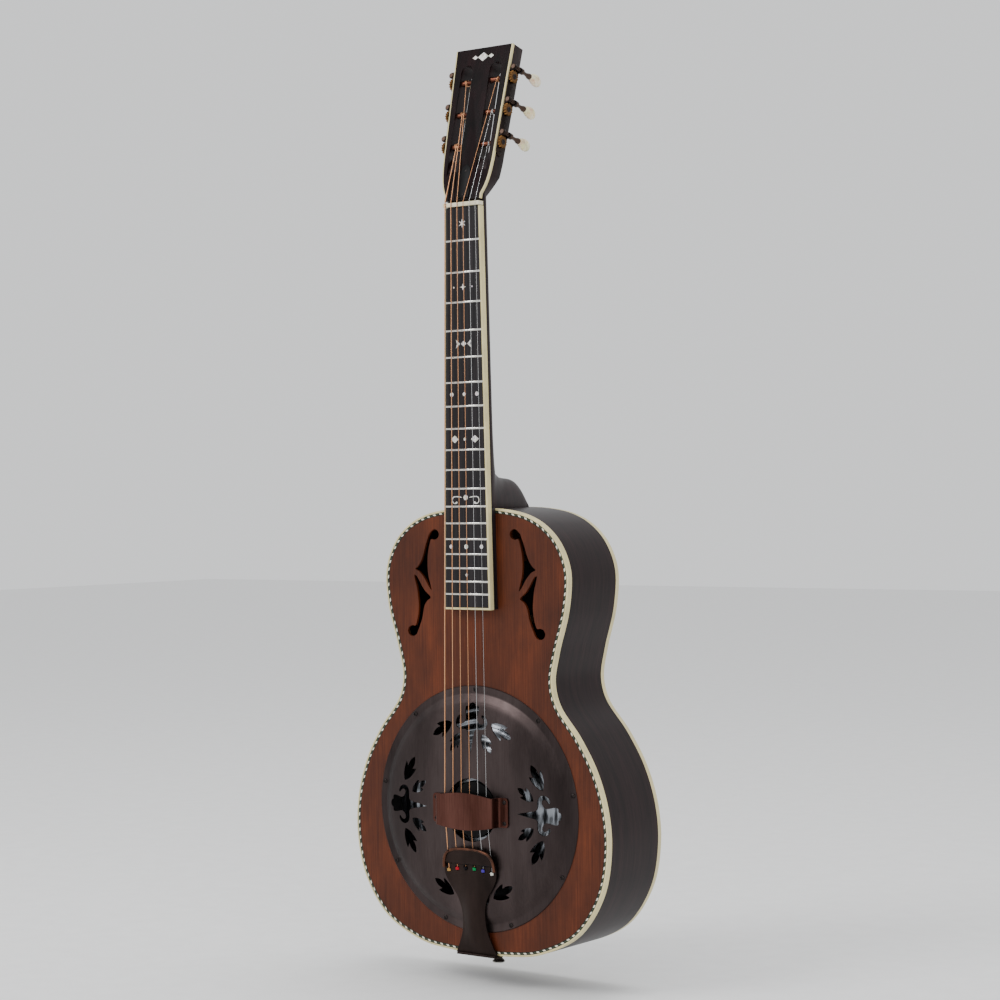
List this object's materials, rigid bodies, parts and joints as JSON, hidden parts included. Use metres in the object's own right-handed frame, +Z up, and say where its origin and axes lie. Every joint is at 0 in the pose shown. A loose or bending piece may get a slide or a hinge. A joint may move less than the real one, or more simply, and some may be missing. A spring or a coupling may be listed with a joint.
{
  "type": "resonator guitar",
  "caption": "Wooden-bodied resonator guitar with a spun cone under a pierced copper cover, f-holes, a raised hand rest, a trapeze tailpiece and a slotted headstock with side tuners.",
  "frame": {"origin": "under the headstock on the centreline, 18 mm above the nut line, where a hanger fork carries the neck; y = 0 is the soundboard face", "axes": "+Z up along the neck, the strings face -Y, +X is the treble side"},
  "size_m": [0.3316, 0.1275, 0.9728],
  "materials": {
    "black_maple": "black lacquer",
    "block_wood": "raw",
    "button_steel": "satin",
    "cover_plastic": "satin",
    "cream_binding": "scraped satin",
    "dark_bronze": "matte antique",
    "dark_copper": "brushed antique copper",
    "dark_mahogany": "satin, dark aubergine stain",
    "ebony": "oiled",
    "hand_rest_copper": "brushed antique copper, polished by wear",
    "head_veneer": "glossy black",
    "lining_wood": "raw",
    "neck_mahogany": "satin dark stain",
    "nut_bone": "polished",
    "pearl_button": "pearl",
    "plain_steel": "bright",
    "saddle_maple": "raw",
    "spruce_top": "matte reddish-brown stain",
    "spun_aluminium": "spun, bright",
    "tuner_copper": "antique",
    "wound_bronze": "wound"
  },
  "bodies": {
    "guitar": {"back": "dark_mahogany", "back_binding": "cream_binding", "back_brace_lower": "block_wood", "back_brace_middle": "block_wood", "back_brace_upper": "block_wood", "back_lining_bass": "lining_wood", "back_lining_treble": "lining_wood", "biscuit": "black_maple", "cone_ledge": "block_wood", "cover_plate": "dark_copper", "fingerboard": "ebony", "fingerboard_binding": "cream_binding", "fingerboard_riser": "ebony", "hand_rest": "hand_rest_copper", "head_binding": "cream_binding", "head_veneer": "head_veneer", "neck": "neck_mahogany", "neck_block": "block_wood", "nut": "nut_bone", "resonator_cone": "spun_aluminium", "saddle": "saddle_maple", "side_bass": "dark_mahogany", "side_treble": "dark_mahogany", "soundboard": "spruce_top", "strap_button": "button_steel", "string_a": "wound_bronze", "string_b": "plain_steel", "string_d": "wound_bronze", "string_g": "wound_bronze", "string_high_e": "plain_steel", "string_low_e": "wound_bronze", "tail_block": "block_wood", "tail_bracket": "dark_bronze", "tailpiece": "dark_bronze", "top_binding": "cream_binding", "top_brace": "block_wood", "top_lining_bass": "lining_wood", "top_lining_treble": "lining_wood", "truss_rod": "button_steel", "truss_rod_cover": "cover_plastic", "tuner_plate_bass": "dark_bronze", "tuner_plate_treble": "dark_bronze"},
    "button_low_e": {"worm_shaft_low_e": "tuner_copper", "tuning_button_low_e": "pearl_button"},
    "post_low_e": {"tuner_post_low_e": "tuner_copper"},
    "button_a": {"worm_shaft_a": "tuner_copper", "tuning_button_a": "pearl_button"},
    "post_a": {"tuner_post_a": "tuner_copper"},
    "button_d": {"worm_shaft_d": "tuner_copper", "tuning_button_d": "pearl_button"},
    "post_d": {"tuner_post_d": "tuner_copper"},
    "button_g": {"worm_shaft_g": "tuner_copper", "tuning_button_g": "pearl_button"},
    "post_g": {"tuner_post_g": "tuner_copper"},
    "button_b": {"worm_shaft_b": "tuner_copper", "tuning_button_b": "pearl_button"},
    "post_b": {"tuner_post_b": "tuner_copper"},
    "button_high_e": {"worm_shaft_high_e": "tuner_copper", "tuning_button_high_e": "pearl_button"},
    "post_high_e": {"tuner_post_high_e": "tuner_copper"}
  },
  "joints": [
    {"name": "button_low_e_turn", "type": "hinge", "parent": "guitar", "child": "button_low_e", "pos_m": [-0.0387, 0.03442, 0.0521], "axis": [0, 0.9681, -0.2504], "continuous": true},
    {"name": "button_a_turn", "type": "hinge", "parent": "guitar", "child": "button_a", "pos_m": [-0.03996, 0.04344, 0.08695], "axis": [0, 0.9681, -0.2504], "continuous": true},
    {"name": "button_d_turn", "type": "hinge", "parent": "guitar", "child": "button_d", "pos_m": [-0.04124, 0.05257, 0.12229], "axis": [0, 0.9681, -0.2504], "continuous": true},
    {"name": "button_g_turn", "type": "hinge", "parent": "guitar", "child": "button_g", "pos_m": [0.04124, 0.05257, 0.12229], "axis": [0, 0.9681, -0.2504], "continuous": true},
    {"name": "button_b_turn", "type": "hinge", "parent": "guitar", "child": "button_b", "pos_m": [0.03996, 0.04344, 0.08695], "axis": [0, 0.9681, -0.2504], "continuous": true},
    {"name": "button_high_e_turn", "type": "hinge", "parent": "guitar", "child": "button_high_e", "pos_m": [0.0387, 0.03442, 0.0521], "axis": [0, 0.9681, -0.2504], "continuous": true},
    {"name": "post_low_e_turn", "type": "hinge", "parent": "guitar", "child": "post_low_e", "pos_m": [0, 0.00888, 0.04838], "axis": [1, 0, 0], "continuous": true},
    {"name": "post_a_turn", "type": "hinge", "parent": "guitar", "child": "post_a", "pos_m": [0, 0.01789, 0.08323], "axis": [1, 0, 0], "continuous": true},
    {"name": "post_d_turn", "type": "hinge", "parent": "guitar", "child": "post_d", "pos_m": [0, 0.02703, 0.11857], "axis": [1, 0, 0], "continuous": true},
    {"name": "post_g_turn", "type": "hinge", "parent": "guitar", "child": "post_g", "pos_m": [0, 0.02703, 0.11857], "axis": [1, 0, 0], "continuous": true},
    {"name": "post_b_turn", "type": "hinge", "parent": "guitar", "child": "post_b", "pos_m": [0, 0.01789, 0.08323], "axis": [1, 0, 0], "continuous": true},
    {"name": "post_high_e_turn", "type": "hinge", "parent": "guitar", "child": "post_high_e", "pos_m": [0, 0.00888, 0.04838], "axis": [1, 0, 0], "continuous": true}
  ],
  "couplings": [
    {"joint": "post_low_e_turn", "follows": "button_low_e_turn", "ratio": -0.071429},
    {"joint": "post_a_turn", "follows": "button_a_turn", "ratio": -0.071429},
    {"joint": "post_d_turn", "follows": "button_d_turn", "ratio": -0.071429},
    {"joint": "post_g_turn", "follows": "button_g_turn", "ratio": 0.071429},
    {"joint": "post_b_turn", "follows": "button_b_turn", "ratio": 0.071429},
    {"joint": "post_high_e_turn", "follows": "button_high_e_turn", "ratio": 0.071429}
  ]
}
